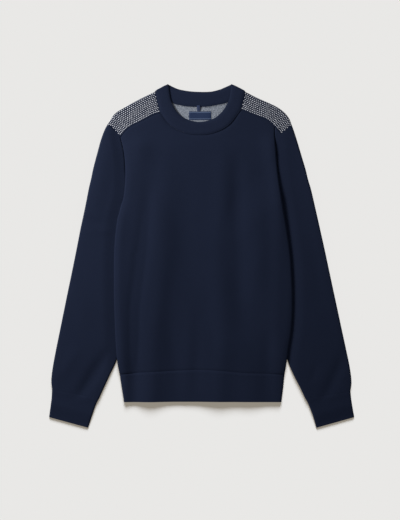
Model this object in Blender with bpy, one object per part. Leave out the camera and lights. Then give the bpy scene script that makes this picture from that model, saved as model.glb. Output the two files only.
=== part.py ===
"""A crewneck sweater lying flat on its back, as knitted pieces of cloth with real thickness.

Plan positions and heights in the tables are millimetres, and cloth() turns them into metres.
X runs to the sweater's right as seen from above, Y towards the neck, Z up from the surface it lies on.
"""

import math
from collections import namedtuple

import bmesh
import bpy
import numpy as np

MM = 0.001

# Cloth and how the layers lie on each other
WALL = 2.2
RIB_WALL = 2.6
GAP = 0.3
SLEEVE_STACK = 2 * WALL + 2 * GAP
EDGE_ROUND = 4.0
RIB_ROUND = 4.5
ROUND_ANGLES = (90.0, 60.0, 30.0, 0.0)
SMALL_STEP = 0.002
BACK_HEM_CLEARANCE = 0.2

# The collar is knitted double, so it is thicker than the body
COLLAR_THICK = 3.8
COLLAR_TIP_BULGE = 0.9
COLLAR_BACK_HEIGHT = COLLAR_THICK / 2
COLLAR_SIDE_HEIGHT = 1.5 * COLLAR_THICK + GAP
COLLAR_FRONT_HEIGHT = 2 * WALL + 0.4

LABEL_LEFT, LABEL_RIGHT = -27.9, 20.5
LABEL_LOW, LABEL_HIGH = 298.8, 317.5
LABEL_THICK = 0.8
LOOP_MIDDLE, LOOP_WIDTH, LOOP_THICK = -6.8, 8.6, 1.0

NAVY = (0.0117, 0.0159, 0.0319, 1.0)
NAVY_RIB = (0.0122, 0.0165, 0.0331, 1.0)
BIRDSEYE = (0.0953, 0.1046, 0.1329, 1.0)
FLECKED_GREY = (0.1559, 0.1714, 0.2051, 1.0)
LOOP_BLUE = (0.0452, 0.0561, 0.1022, 1.0)
LABEL_NAVY = (0.0137, 0.0212, 0.0561, 1.0)

BodyRow = namedtuple("BodyRow", "y left right")
BODY_ROWS = (
    BodyRow(-259.0, -180.4, 182.4),
    BodyRow(-240.0, -184.3, 185.6),
    BodyRow(-222.0, -186.6, 188.1),
    BodyRow(-200.0, -188.2, 190.8),
    BodyRow(-168.0, -189.9, 195.9),
    BodyRow(-130.0, -191.4, 198.9),
    BodyRow(-90.0, -192.5, 199.4),
    BodyRow(-45.0, -192.5, 197.8),
    BodyRow(0.0, -192.3, 194.7),
    BodyRow(40.0, -190.1, 189.6),
    BodyRow(77.0, -185.7, 183.8),
    BodyRow(94.0, -181.4, 180.8),
    BodyRow(111.8, -176.7, 178.0),
)

# Armhole seam, from where the sleeve leaves the body's edge up to the shoulder panel
ARMHOLE = {
    "left": (
        (-176.7, 111.8), (-171.6, 129.4), (-168.3, 164.6),
        (-168.3, 197.6), (-171.6, 230.6), (-178.9, 261.4),
    ),
    "right": (
        (178.0, 111.8), (172.9, 144.8), (166.8, 191.0),
        (163.5, 230.6), (160.6, 262.0), (161.0, 282.5),
    ),
}
ARMHOLE_STEPS = 7

# The corner of the shoulder panel that lies on the sleeve head, and the panel's end at the shoulder line
PANEL_CORNER = {"left": (-178.9, 261.4), "right": (173.8, 267.5)}
SHOULDER_END = {"left": (-206.4, 289.3), "right": (198.2, 286.7)}
NECK_POINT = {"left": (-102.7, 360.4), "right": (95.9, 360.4)}
NECK_JUNCTION = {"left": (-91.3, 314.2), "right": (86.5, 321.0)}

SHOULDER_LINE = {
    "left": (
        NECK_POINT["left"], (-131.1, 347.2), (-155.8, 334.0), (-170.7, 325.2),
        (-185.7, 316.4), (-195.1, 307.6), (-200.2, 298.8), SHOULDER_END["left"],
    ),
    "right": (
        NECK_POINT["right"], (122.3, 347.2), (151.8, 334.0), (168.7, 325.2),
        (180.4, 316.4), (188.5, 307.6), (193.8, 298.8), SHOULDER_END["right"],
    ),
}
PANEL_LOWER = {
    "left": (
        NECK_JUNCTION["left"], (-109.1, 308.0), (-135.3, 294.1), (-156.9, 283.4), (-166.3, 275.7),
        ARMHOLE["left"][-1],
    ),
    "right": (
        NECK_JUNCTION["right"], (109.8, 311.0), (138.6, 300.5), (150.3, 292.9),
        ARMHOLE["right"][-1],
    ),
}
PANEL_STEPS = 7
PANEL_NECK_STEPS = 3

FRONT_NECK = (
    NECK_JUNCTION["left"], (-69.7, 287.8), (-36.7, 270.2), (-4.8, 265.8),
    (27.1, 270.2), (60.1, 287.8), NECK_JUNCTION["right"],
)
FRONT_NECK_STEPS = 12
BACK_NECK = (
    NECK_POINT["left"], (-67.5, 337.3), (-47.7, 330.7), (-21.3, 327.4),
    (7.3, 327.4), (29.3, 330.7), (60.1, 338.4), NECK_POINT["right"],
)
BACK_NECK_STEPS = 10

# Free edge of the collar: its front part lies on the back part, and they fold into each other at the tips
COLLAR_TIP = {"left": (-74.1, 376.1), "right": (65.6, 376.1)}
COLLAR_FRONT_EDGE = (
    COLLAR_TIP["left"], (-70.8, 353.8), (-66.4, 336.2), (-54.3, 315.3), (-34.5, 299.9), (-4.8, 293.3),
    (24.9, 299.9), (44.7, 315.3), (57.9, 336.2), (63.4, 353.8), COLLAR_TIP["right"],
)
COLLAR_BACK_EDGE = (
    COLLAR_TIP["left"], (-60.5, 369.2), (-48.4, 364.8), (-25.7, 360.8), (0.7, 359.5),
    (22.0, 360.4), (39.8, 364.8), (50.6, 369.2), COLLAR_TIP["right"],
)

HEM_SEAM = (
    (-180.4, -259.0), (-124.0, -255.6), (-60.0, -252.4), (-10.0, -250.2),
    (40.0, -252.2), (100.0, -257.4), (182.4, -259.0),
)
HEM_BOTTOM = ((-170.7, -321.2), (0.0, -320.4), (175.3, -321.2))
HEM_SIDES = {
    "left": (HEM_SEAM[0], (-176.2, -286.4), HEM_BOTTOM[0]),
    "right": (HEM_SEAM[-1], (179.5, -286.4), HEM_BOTTOM[-1]),
}

# Sleeves: the edge away from the body, the edge towards it, and the underarm that the body hides
SleeveRow = namedtuple("SleeveRow", "outer_x outer_y inner_x inner_y")
SLEEVE_ROWS = {
    "left": (
        SleeveRow(-328.7, -293.0, -224.8, -312.8),
        SleeveRow(-330.4, -272.0, -214.8, -290.5),
        SleeveRow(-326.9, -243.0, -201.6, -262.0),
        SleeveRow(-320.3, -207.2, -187.2, -231.0),
        SleeveRow(-312.7, -170.0, -180.5, -202.0),
        SleeveRow(-303.8, -126.0, -171.0, -160.0),
        SleeveRow(-294.6, -81.0, -160.5, -114.0),
        SleeveRow(-285.0, -35.0, -150.0, -68.0),
        SleeveRow(-275.9, 10.0, -139.8, -23.0),
        SleeveRow(-266.5, 58.0, -128.8, 25.0),
        SleeveRow(-257.9, 98.0, -120.0, 64.0),
        SleeveRow(-253.0, 122.0, -140.0, 82.0),
        SleeveRow(-248.4, 146.0, -160.5, 98.0),
    ),
    "right": (
        SleeveRow(326.7, -297.4, 227.0, -312.8),
        SleeveRow(329.1, -275.0, 216.6, -290.5),
        SleeveRow(325.0, -243.0, 202.0, -262.0),
        SleeveRow(317.7, -207.2, 189.0, -231.4),
        SleeveRow(309.6, -170.0, 182.0, -202.0),
        SleeveRow(300.2, -126.0, 172.0, -160.0),
        SleeveRow(290.5, -81.0, 161.0, -114.0),
        SleeveRow(280.6, -35.0, 150.5, -68.0),
        SleeveRow(271.0, 10.0, 140.2, -23.0),
        SleeveRow(260.3, 58.0, 129.0, 25.0),
        SleeveRow(251.3, 98.0, 120.0, 64.0),
        SleeveRow(245.8, 122.0, 140.0, 82.0),
        SleeveRow(240.1, 146.0, 161.0, 98.0),
    ),
}
# The tube is closed along its inner edge up to this row, the underarm
UNDERARM_ROW = 10
SLEEVE_HEAD = {
    "left": (
        (-242.8, 170.0), (-238.9, 188.8), (-233.6, 210.0), (-228.6, 228.4),
        (-221.3, 254.8), (-213.2, 276.8), SHOULDER_END["left"],
    ),
    "right": (
        (233.6, 168.0), (228.6, 188.8), (222.9, 208.0), (216.9, 228.4),
        (209.0, 254.8), (203.5, 272.0), SHOULDER_END["right"],
    ),
}

CUFF_SIDES = {
    "left": {
        "outer": ((-328.7, -293.0), (-329.8, -312.8), (-331.5, -326.0), (-335.5, -354.6)),
        "inner": ((-224.8, -312.8), (-231.7, -326.0), (-241.1, -352.4), (-249.5, -378.0)),
    },
    "right": {
        "outer": ((326.7, -297.4), (328.5, -312.8), (330.4, -326.0), (335.5, -354.6)),
        "inner": ((227.0, -312.8), (234.3, -326.0), (244.6, -352.4), (252.1, -378.0)),
    },
}
RIB_STEPS = 3

# Where the sleeves lie under the body: hidden inner edge from the underarm to where it comes out
Hidden = namedtuple("Hidden", "underarm way_out leaves_edge")
HIDDEN_SLEEVE = {
    "left": Hidden((-120.0, 64.0), (-187.2, -231.0), (-176.7, 111.8)),
    "right": Hidden((120.0, 64.0), (189.0, -231.4), (178.0, 111.8)),
}
LIFT_FLAT, LIFT_RAMP, LIFT_END_Y = 13.0, 30.0, -216.0

# Soft lengthwise ridges of the front: where the crest runs, how high and how wide it is
RidgePoint = namedtuple("RidgePoint", "y x height width")
FRONT_RIDGES = (
    (
        RidgePoint(-325.0, -104.0, 2.6, 26.0), RidgePoint(-258.0, -107.0, 2.2, 24.0),
        RidgePoint(-190.0, -117.0, 1.5, 20.0), RidgePoint(-97.0, -104.0, 1.3, 18.0),
        RidgePoint(50.0, -96.0, 1.3, 18.0), RidgePoint(233.0, -72.0, 0.5, 20.0),
    ),
    (
        RidgePoint(-325.0, 45.0, 2.6, 30.0), RidgePoint(-258.0, 45.0, 2.2, 28.0),
        RidgePoint(-135.0, 47.0, 1.2, 24.0), RidgePoint(85.0, 42.0, 1.2, 24.0),
        RidgePoint(233.0, 46.0, 0.5, 24.0),
    ),
    (
        RidgePoint(-325.0, 148.0, 1.2, 20.0), RidgePoint(-258.0, 150.0, 1.2, 20.0),
        RidgePoint(-120.0, 142.0, 1.1, 18.0), RidgePoint(60.0, 138.0, 1.1, 18.0),
        RidgePoint(233.0, 132.0, 0.6, 18.0),
    ),
)
FRONT_PUFF = 0.5
EDGE_PUFF, EDGE_PUFF_WIDTH = 1.5, 16.0
SLEEVE_PUFF, SLEEVE_PUFF_START, SLEEVE_PUFF_RAMP = 2.2, 12.0, 34.0
SHOULDER_PUFF = 0.8


def smooth_line(points, steps):
    """Points evenly spaced along a smooth curve through the given points."""
    p = np.array(points, float)
    p = np.vstack([2 * p[0] - p[1], p, 2 * p[-1] - p[-2]])
    fine = []
    for a, b, c, d in zip(p[:-3], p[1:-2], p[2:-1], p[3:]):
        for t in np.linspace(0, 1, 24, endpoint=False):
            fine.append(0.5 * (2 * b + (c - a) * t + (2 * a - 5 * b + 4 * c - d) * t**2
                               + (3 * b - a - 3 * c + d) * t**3))
    fine = np.array(fine + [p[-2]])
    run = np.concatenate([[0], np.cumsum(np.linalg.norm(np.diff(fine, axis=0), axis=1))])
    at = np.linspace(0, run[-1], steps + 1)
    return np.stack([np.interp(at, run, fine[:, k]) for k in range(2)], axis=1)


def soft_step(t):
    t = min(max(t, 0.0), 1.0)
    return t * t * (3 - 2 * t)


def line_at(points, places, t):
    """The point at place t of a line whose points stand at the given places."""
    return np.array([np.interp(t, places, points[:, k]) for k in range(2)])


# Seams that two or more pieces share, each sampled once
SIDES = ("left", "right")
armhole = {s: smooth_line(ARMHOLE[s], ARMHOLE_STEPS) for s in SIDES}
shoulder = {s: smooth_line(SHOULDER_LINE[s], PANEL_STEPS) for s in SIDES}
panel_lower = {
    "left": smooth_line(PANEL_LOWER["left"], PANEL_STEPS),
    "right": np.vstack([smooth_line(PANEL_LOWER["right"], PANEL_STEPS - 1), [PANEL_CORNER["right"]]]),
}
front_neck = smooth_line(FRONT_NECK, FRONT_NECK_STEPS)
back_neck = smooth_line(BACK_NECK, BACK_NECK_STEPS)
hem_seam = smooth_line(HEM_SEAM, 24)
hem_bottom = smooth_line(HEM_BOTTOM, 8)


def hidden_distance(x, y):
    """How far a point of the body lies from the part of a sleeve under it."""
    hidden = HIDDEN_SLEEVE["left" if x < 0 else "right"]
    sign = 1.0 if x < 0 else -1.0
    under, out, leaves = (np.array(q, float) for q in hidden)
    along = (out - under) / np.linalg.norm(out - under)
    inboard = np.array([-along[1], along[0]]) * sign
    slope = (under - leaves) / np.linalg.norm(under - leaves)
    upward = np.array([-slope[1], slope[0]]) * sign
    p = np.array([x, y]) - under
    return math.hypot(max(p @ inboard, 0), max(p @ upward, 0), max(LIFT_END_Y - y, 0))


def lift(x, y):
    """How far the body is raised where a sleeve lies under it."""
    return SLEEVE_STACK * (1 - soft_step((hidden_distance(x, y) - LIFT_FLAT) / LIFT_RAMP))


def body_edges(y):
    ys = [r.y for r in BODY_ROWS]
    up = {s: armhole[s][:, 1] for s in SIDES}
    out = {s: armhole[s][:, 0] for s in SIDES}
    return [
        float(np.interp(y, ys + list(up[s][1:]), [getattr(r, s) for r in BODY_ROWS] + list(out[s][1:])))
        for s in SIDES
    ]


def front_puff(x, y):
    """How far the front stands above the back that it lies on."""
    height = FRONT_PUFF
    for ridge in FRONT_RIDGES:
        ys = [r.y for r in ridge]
        crest, tall, wide = (np.interp(y, ys, [r[k] for r in ridge]) for k in (1, 2, 3))
        height += tall * math.exp(-(((x - crest) / wide) ** 2))
    left, right = body_edges(y)
    nearest = min(x - left, right - x)
    height += EDGE_PUFF * math.exp(-((nearest / EDGE_PUFF_WIDTH) ** 2))
    return height * (1 - 0.8 * soft_step((y - 215) / 45))


def back_under(x, y):
    return lift(x, y)


def front_top(x, y):
    return lift(x, y) + 2 * WALL + GAP + front_puff(x, y)


def front_part(x, y):
    return (back_under(x, y) + front_top(x, y) + GAP) / 2


def back_part(x, y):
    return (back_under(x, y) + front_top(x, y) - GAP) / 2


def sleeve_top(x, y):
    """Sleeves lie thin under the body and swell a little outside it."""
    left, right = body_edges(y)
    out = max(left - x, x - right) - SLEEVE_PUFF_START
    return 2 * WALL + GAP + SLEEVE_PUFF * soft_step(out / SLEEVE_PUFF_RAMP)


def floor_level(x, y):
    return 0.0


class Plan:
    """A four-sided piece seen from above, between two end lines and two rows of edge points."""

    def __init__(self, bottom, top, left, right, bottom_at=None, top_at=None, top_from=0.0):
        self.bottom, self.top = np.array(bottom, float), np.array(top, float)
        self.left, self.right = np.array(left, float), np.array(right, float)
        self.bottom_at = self.places(self.bottom) if bottom_at is None else bottom_at
        self.top_at = self.places(self.top) if top_at is None else top_at
        self.rows = np.linspace(0, 1, len(self.left))
        self.top_from = top_from

    @staticmethod
    def places(points):
        run = np.concatenate([[0], np.cumsum(np.linalg.norm(np.diff(points, axis=0), axis=1))])
        return run / run[-1]

    def __call__(self, u, v):
        a, b = line_at(self.left, self.rows, v), line_at(self.right, self.rows, v)
        low = line_at(self.bottom, self.bottom_at, u) - (1 - u) * self.left[0] - u * self.right[0]
        high = line_at(self.top, self.top_at, u) - (1 - u) * self.top[0] - u * self.top[-1]
        rise = max(0.0, (v - self.top_from) / (1 - self.top_from))
        return (1 - u) * a + u * b + (1 - v) * low + rise * high

    def across(self, u, v, side):
        """How many millimetres one unit of u is worth, going inwards from a side edge."""
        return float(np.linalg.norm(self(u + side * SMALL_STEP, v) - self(u, v))) / SMALL_STEP

    def along(self, u, v, side):
        """The same for v, going inwards from the lower or the upper edge."""
        return float(np.linalg.norm(self(u, v + side * SMALL_STEP) - self(u, v))) / SMALL_STEP


Station = namedtuple("Station", "at side angle")


def stations(inside, start_round, end_round):
    """Places across a piece: rounded ends are stepped by angle, the rest lie where they are told."""
    first = [Station(0.0, 1, a) for a in ROUND_ANGLES] if start_round else [Station(0.0, 1, None)]
    last = [Station(1.0, -1, a) for a in reversed(ROUND_ANGLES)] if end_round else [Station(1.0, -1, None)]
    return first + [Station(float(t), 0, 0.0) for t in inside] + last


def inset(station, radius, wall, inner):
    if station.side == 0:
        return 0.0
    if station.angle is None:
        return GAP / 2
    turned = 1 - math.sin(math.radians(station.angle))
    return GAP / 2 + (wall + (radius - wall) * turned if inner else radius * turned)


def layer(plan, columns, rows, face, parting, wall=WALL, radius=EDGE_ROUND, upward=True):
    """The outer and inner points of one layer of cloth, row by row.

    face is the height of its outer side, and parting the height where its rounded edges end.
    """
    sign = 1.0 if upward else -1.0
    grids = []
    for inner in (False, True):
        grid = []
        for row in rows:
            line = []
            for column in columns:
                u, v = column.at, row.at
                if column.side:
                    u += column.side * inset(column, radius, wall, inner) / plan.across(u, v, column.side)
                if row.side:
                    v += row.side * inset(row, radius, wall, inner) / plan.along(u, v, row.side)
                x, y = plan(u, v)
                bend = math.cos(math.radians(column.angle or 0)) * math.cos(math.radians(row.angle or 0))
                outer_face = face(x, y)
                fall = sign * (outer_face - parting(x, y))
                if inner:
                    z = outer_face - sign * (wall + max(fall - wall, 0) * (1 - bend))
                else:
                    z = outer_face - sign * fall * (1 - bend)
                line.append((x, y, z))
            grid.append(line)
        grids.append(np.array(grid))
    return grids


def around(top, bottom):
    """Joins an upper and a lower layer into one run of columns, over one fold."""
    return [np.concatenate([t, b[:, ::-1][:, 1:]], axis=1) for t, b in zip(top, bottom)]


def finish_object(name, verts, faces, material):
    mesh = bpy.data.meshes.new(name)
    mesh.from_pydata([tuple(float(c) * MM for c in v) for v in verts], [], faces)
    mesh.validate()
    bm = bmesh.new()
    bm.from_mesh(mesh)
    bmesh.ops.remove_doubles(bm, verts=bm.verts, dist=1e-7)
    bmesh.ops.dissolve_degenerate(bm, edges=bm.edges, dist=1e-7)
    bmesh.ops.triangulate(bm, faces=bm.faces)
    bmesh.ops.recalc_face_normals(bm, faces=bm.faces)
    bm.to_mesh(mesh)
    bm.free()
    mesh.materials.append(material)
    mesh.shade_smooth()
    mesh.set_sharp_from_angle(angle=math.radians(50))
    piece = bpy.data.objects.new(name, mesh)
    bpy.context.collection.objects.link(piece)
    return piece


def cloth(name, outer, inner, material, joined_rows=0):
    """One closed piece of cloth between an outer and an inner surface.

    In the first joined_rows rows its first and last columns are one, as in a tube.
    """
    rows, cols = outer.shape[:2]
    verts = list(outer.reshape(-1, 3)) + list(inner.reshape(-1, 3))

    def out(r, c):
        return r * cols + c

    def back(r, c):
        return rows * cols + r * cols + c

    faces = []
    for r in range(rows - 1):
        for c in range(cols - 1):
            faces.append((out(r, c), out(r, c + 1), out(r + 1, c + 1), out(r + 1, c)))
            faces.append((back(r, c), back(r + 1, c), back(r + 1, c + 1), back(r, c + 1)))
        if r >= joined_rows - 1:
            faces.append((out(r, 0), out(r + 1, 0), back(r + 1, 0), back(r, 0)))
            faces.append((out(r, cols - 1), back(r, cols - 1), back(r + 1, cols - 1), out(r + 1, cols - 1)))
    for c in range(cols - 1):
        faces.append((out(0, c), back(0, c), back(0, c + 1), out(0, c + 1)))
        faces.append((out(rows - 1, c), out(rows - 1, c + 1), back(rows - 1, c + 1), back(rows - 1, c)))
    return finish_object(name, verts, faces, material)


def material(name, colour, roughness):
    m = bpy.data.materials.new(name)
    m.use_nodes = True
    shader = m.node_tree.nodes["Principled BSDF"]
    shader.inputs["Base Color"].default_value = colour
    shader.inputs["Roughness"].default_value = roughness
    shader.inputs["Metallic"].default_value = 0.0
    m.diffuse_color = colour
    return m


def front_plan():
    """The front from the hem seam up, with the shoulder panels' and the neck's edges on top."""
    top = np.vstack([
        panel_lower["left"][::-1],
        front_neck[1:-1],
        panel_lower["right"][:-1],
    ])
    top_at = (top[:, 0] - top[0, 0]) / (top[-1, 0] - top[0, 0])
    left = [(r.left, r.y) for r in BODY_ROWS] + [tuple(p) for p in armhole["left"][1:]]
    right = [(r.right, r.y) for r in BODY_ROWS] + [tuple(p) for p in armhole["right"][1:]]
    bottom_at = (hem_seam[:, 0] - hem_seam[0, 0]) / (hem_seam[-1, 0] - hem_seam[0, 0])
    flat_rows = len(left) - 4
    return Plan(hem_seam, top, left, right, bottom_at, top_at, flat_rows / (len(left) - 1))


def make_front(navy):
    plan = front_plan()
    columns = stations(plan.top_at[1:-1], True, True)
    rows = stations(plan.rows[1:-1], False, False)
    outer, inner = layer(plan, columns, rows, front_top, front_part)
    cloth("front", outer, inner, navy)


def make_back(navy):
    """The back, with fewer columns in its flat middle, so it starts a little clear of the curved hem seam."""
    whole = front_plan()
    top = np.array([whole.left[-1], whole.right[-1]])
    bottom = whole.bottom + np.array([0.0, BACK_HEM_CLEARANCE])
    plan = Plan(bottom, top, whole.left, whole.right, whole.bottom_at)
    inside = list(whole.top_at[1:-1])
    side_columns = 8
    kept = inside[:side_columns] + inside[side_columns:-side_columns:2] + inside[-side_columns:]
    columns = stations(kept, True, True)
    rows = stations(plan.rows[1:-1], False, False)
    outer, inner = layer(plan, columns, rows, back_under, back_part, upward=False)
    cloth("back", outer, inner, navy)


def make_sleeve(side, navy):
    """A flattened tube whose inner edge opens at the armhole, above the underarm."""
    head = armhole[side]
    outer_edge = [(r.outer_x, r.outer_y) for r in SLEEVE_ROWS[side]] + list(SLEEVE_HEAD[side])
    inner_edge = [(r.inner_x, r.inner_y) for r in SLEEVE_ROWS[side]] + [tuple(p) for p in head]
    last = len(SLEEVE_ROWS[side])
    outer_edge.insert(last, tuple(np.mean(outer_edge[last - 1:last + 1], axis=0)))
    cuff_seam = [inner_edge[0], outer_edge[0]]
    top = [PANEL_CORNER[side], SHOULDER_END[side]]
    if side == "right":
        top.insert(0, tuple(head[-1]))
    plan = Plan(cuff_seam, top, inner_edge, outer_edge, top_from=0.8)
    corner = plan.top_at[1] if side == "right" else 0.4
    inside = [0.2, corner, 0.6, 0.8]
    columns = stations(inside, True, True)
    rows = stations(plan.rows[1:-1], False, False)

    def middle(x, y):
        return sleeve_top(x, y) / 2

    def front_middle(x, y):
        return middle(x, y) + GAP / 2

    def back_middle(x, y):
        return middle(x, y) - GAP / 2

    top_layers, bottom_layers = [], []
    for upward, face, slit, store in (
        (True, sleeve_top, front_middle, top_layers),
        (False, floor_level, back_middle, bottom_layers),
    ):
        closed = layer(plan, columns, rows, face, middle, upward=upward)
        opened = layer(plan, columns, rows, face, slit, upward=upward)
        inner_columns = len(ROUND_ANGLES)
        for c, o in zip(closed, opened):
            c[UNDERARM_ROW + 1:, :inner_columns] = o[UNDERARM_ROW + 1:, :inner_columns]
            store.append(c)
    outer, inner = around(top_layers, bottom_layers)
    cloth(f"sleeve_{side}", outer, inner, navy, joined_rows=UNDERARM_ROW + 1)


def make_cuff(side, rib):
    edges = CUFF_SIDES[side]
    inner_edge = smooth_line(edges["inner"], RIB_STEPS)
    outer_edge = smooth_line(edges["outer"], RIB_STEPS)
    plan = Plan([inner_edge[-1], outer_edge[-1]], [inner_edge[0], outer_edge[0]], inner_edge[::-1], outer_edge[::-1])
    columns = stations((0.2, 0.4, 0.6, 0.8), True, True)
    rows = stations(plan.rows[1:-1], False, False)

    def cuff_top(x, y):
        return 2 * RIB_WALL + GAP + 1.6

    def middle(x, y):
        return cuff_top(x, y) / 2

    top = layer(plan, columns, rows, cuff_top, middle, RIB_WALL, RIB_ROUND)
    bottom = layer(plan, columns, rows, floor_level, middle, RIB_WALL, RIB_ROUND, upward=False)
    outer, inner = around(top, bottom)
    cloth(f"cuff_{side}", outer, inner, rib, joined_rows=len(rows))


def make_hem(rib):
    left = smooth_line(HEM_SIDES["left"], RIB_STEPS)
    right = smooth_line(HEM_SIDES["right"], RIB_STEPS)
    plan = Plan(hem_bottom, hem_seam, left[::-1], right[::-1])
    rows = stations(plan.rows[1:-1], False, False)

    def hem_top(x, y):
        return 2 * RIB_WALL + GAP + front_puff(x, min(y, HEM_SEAM[0][1]))

    def middle(x, y):
        return hem_top(x, y) / 2

    columns = stations(plan.top_at[1:-1], True, True)
    top = layer(plan, columns, rows, hem_top, middle, RIB_WALL, RIB_ROUND)
    bottom = layer(plan, columns, rows, floor_level, middle, RIB_WALL, RIB_ROUND, upward=False)
    outer, inner = around(top, bottom)
    cloth("hem_band", outer, inner, rib, joined_rows=len(rows))


def make_shoulder_panel(side, birdseye):
    """A strip from the collar over the shoulder to the sleeve head, folded down at the shoulder line."""
    lower, upper = panel_lower[side], shoulder[side]
    neck_edge = smooth_line((NECK_JUNCTION[side], NECK_POINT[side]), PANEL_NECK_STEPS)
    end_edge = smooth_line((lower[-1], upper[-1]), PANEL_NECK_STEPS)
    plan = Plan(lower, upper, neck_edge, end_edge)
    columns = stations(plan.bottom_at[1:-1], False, False)
    rows = stations(plan.rows[1:-1], False, True)

    def face(x, y):
        return 2 * WALL + GAP + SHOULDER_PUFF

    def parting(x, y):
        return WALL + GAP

    outer, inner = layer(plan, columns, rows, face, parting)
    cloth(f"shoulder_panel_{side}", outer, inner, birdseye)


def make_yoke(birdseye):
    """The patterned back yoke between the shoulder lines, whose flecked inner side shows in the neck."""
    top = np.vstack([shoulder["left"][::-1], back_neck[1:-1], shoulder["right"]])
    lower = np.array([armhole["left"][-1], armhole["right"][-1], PANEL_CORNER["right"]])
    top_at = Plan.places(top)
    lower_at = np.array([0.0, top_at[-2], 1.0])
    left = np.linspace(lower[0], top[0], 4)
    right = np.linspace(lower[-1], top[-1], 4)
    plan = Plan(lower, top, left, right, lower_at, top_at)
    columns = stations(top_at[1:-1], False, False)
    rows = stations(plan.rows[1:-1], False, True)

    def parting(x, y):
        return WALL

    outer, inner = layer(plan, columns, rows, floor_level, parting, radius=3.0, upward=False)
    cloth("back_yoke", outer, inner, birdseye)


def make_collar(rib):
    """A double-knit ring: the front half lies on the back half and turns over at the two tips."""
    front_seam = np.vstack([
        smooth_line((NECK_POINT["left"], NECK_JUNCTION["left"]), PANEL_NECK_STEPS)[:-1],
        front_neck,
        smooth_line((NECK_JUNCTION["right"], NECK_POINT["right"]), PANEL_NECK_STEPS)[1:],
    ])
    front_edge = smooth_line(COLLAR_FRONT_EDGE, len(front_seam) - 1)
    back_edge = smooth_line(COLLAR_BACK_EDGE, len(back_neck) - 1)
    half = COLLAR_THICK / 2
    turn = (COLLAR_SIDE_HEIGHT - COLLAR_BACK_HEIGHT) / 2
    turn_middle = (COLLAR_SIDE_HEIGHT + COLLAR_BACK_HEIGHT) / 2
    across = np.linspace(0, 1, 4)
    sections = []

    def flat_section(seam, edge, height, upside):
        out = (edge - seam) / np.linalg.norm(edge - seam)
        start = seam + out * GAP / 2
        points = [start + (edge - start) * t for t in across]
        tip = edge + out * COLLAR_TIP_BULGE
        side = 1.0 if upside else -1.0
        outer = [(*p, height + side * half) for p in points]
        inner = [(*p, height - side * half) for p in reversed(points)]
        return outer + [(*tip, height)] + inner

    def turn_section(side, angle):
        seam, edge = np.array(NECK_POINT[side]), np.array(COLLAR_TIP[side])
        out = (edge - seam) / np.linalg.norm(edge - seam)
        away = np.array([-out[1], out[0]]) if side == "left" else np.array([out[1], -out[0]])
        reach, up = math.cos(math.radians(angle)), math.sin(math.radians(angle))
        start = seam + out * GAP / 2
        middles = [start + (edge - start) * t for t in across]
        tip = edge + out * COLLAR_TIP_BULGE

        def place(p, bulge, rise):
            return (*(p + away * bulge * reach), turn_middle + rise * up)

        return (
            [place(p, half, turn + half) for p in middles]
            + [place(tip, half / 2, turn)]
            + [place(p, turn - half, turn - half) for p in reversed(middles)]
        )

    def front_height(x):
        """Highest by the tips, where the front half lies on the back half."""
        low_from, low_to = 20.0, 62.0
        near_tip = soft_step((abs(x + 4.5) - low_from) / (low_to - low_from))
        return COLLAR_FRONT_HEIGHT + (COLLAR_SIDE_HEIGHT - COLLAR_FRONT_HEIGHT) * near_tip

    for seam, edge in list(zip(front_seam, front_edge))[1:-1]:
        sections.append(flat_section(seam, edge, front_height(edge[0]), True))
    for angle in (90, 45, 0, -45, -90):
        sections.append(turn_section("right", angle))
    for seam, edge in list(zip(back_neck, back_edge))[-2:0:-1]:
        sections.append(flat_section(seam, edge, COLLAR_BACK_HEIGHT, False))
    for angle in (-90, -45, 0, 45, 90):
        sections.append(turn_section("left", angle))
    count, size = len(sections), len(sections[0])
    verts = [p for section in sections for p in section]
    faces = []
    for s in range(count):
        for k in range(size):
            a, b = s * size, (s + 1) % count * size
            faces.append((a + k, a + (k + 1) % size, b + (k + 1) % size, b + k))
    return finish_object("neck_rib", verts, faces, rib)


def make_label(navy_label):
    """A plain woven label on the inside of the back yoke."""
    low = WALL + GAP
    xs = np.linspace(LABEL_LEFT, LABEL_RIGHT, 5)
    outer = np.array([[(x, y, low + LABEL_THICK) for x in xs] for y in (LABEL_LOW, LABEL_HIGH)])
    inner = outer - np.array([0, 0, LABEL_THICK])
    cloth("neck_label", outer, inner, navy_label)


def make_loop(tape):
    """A short tape that rises from the label and lies over the collar seam."""
    path = ((319.2, WALL + GAP), (322.5, 3.3), (325.6, 4.1), (328.8, 4.4), (334.0, COLLAR_THICK + GAP))
    xs = (LOOP_MIDDLE - LOOP_WIDTH / 2, LOOP_MIDDLE + LOOP_WIDTH / 2)
    inner = np.array([[(x, y, z) for x in xs] for y, z in path])
    outer = inner + np.array([0, 0, LOOP_THICK])
    cloth("hanging_loop", outer, inner, tape)


def main():
    for old in list(bpy.data.objects):
        bpy.data.objects.remove(old, do_unlink=True)
    navy = material("navy_knit", NAVY, 0.85)
    rib = material("navy_rib", NAVY_RIB, 0.85)
    birdseye = material("birdseye_jacquard", BIRDSEYE, 0.85)
    make_front(navy)
    make_back(navy)
    for side in SIDES:
        make_sleeve(side, navy)
        make_cuff(side, rib)
        make_shoulder_panel(side, birdseye)
    make_yoke(material("flecked_reverse", FLECKED_GREY, 0.9))
    make_hem(rib)
    make_collar(rib)
    make_label(material("label_weave", LABEL_NAVY, 0.7))
    make_loop(material("loop_tape", LOOP_BLUE, 0.7))


main()
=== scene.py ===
import functools
import itertools
import math

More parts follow.
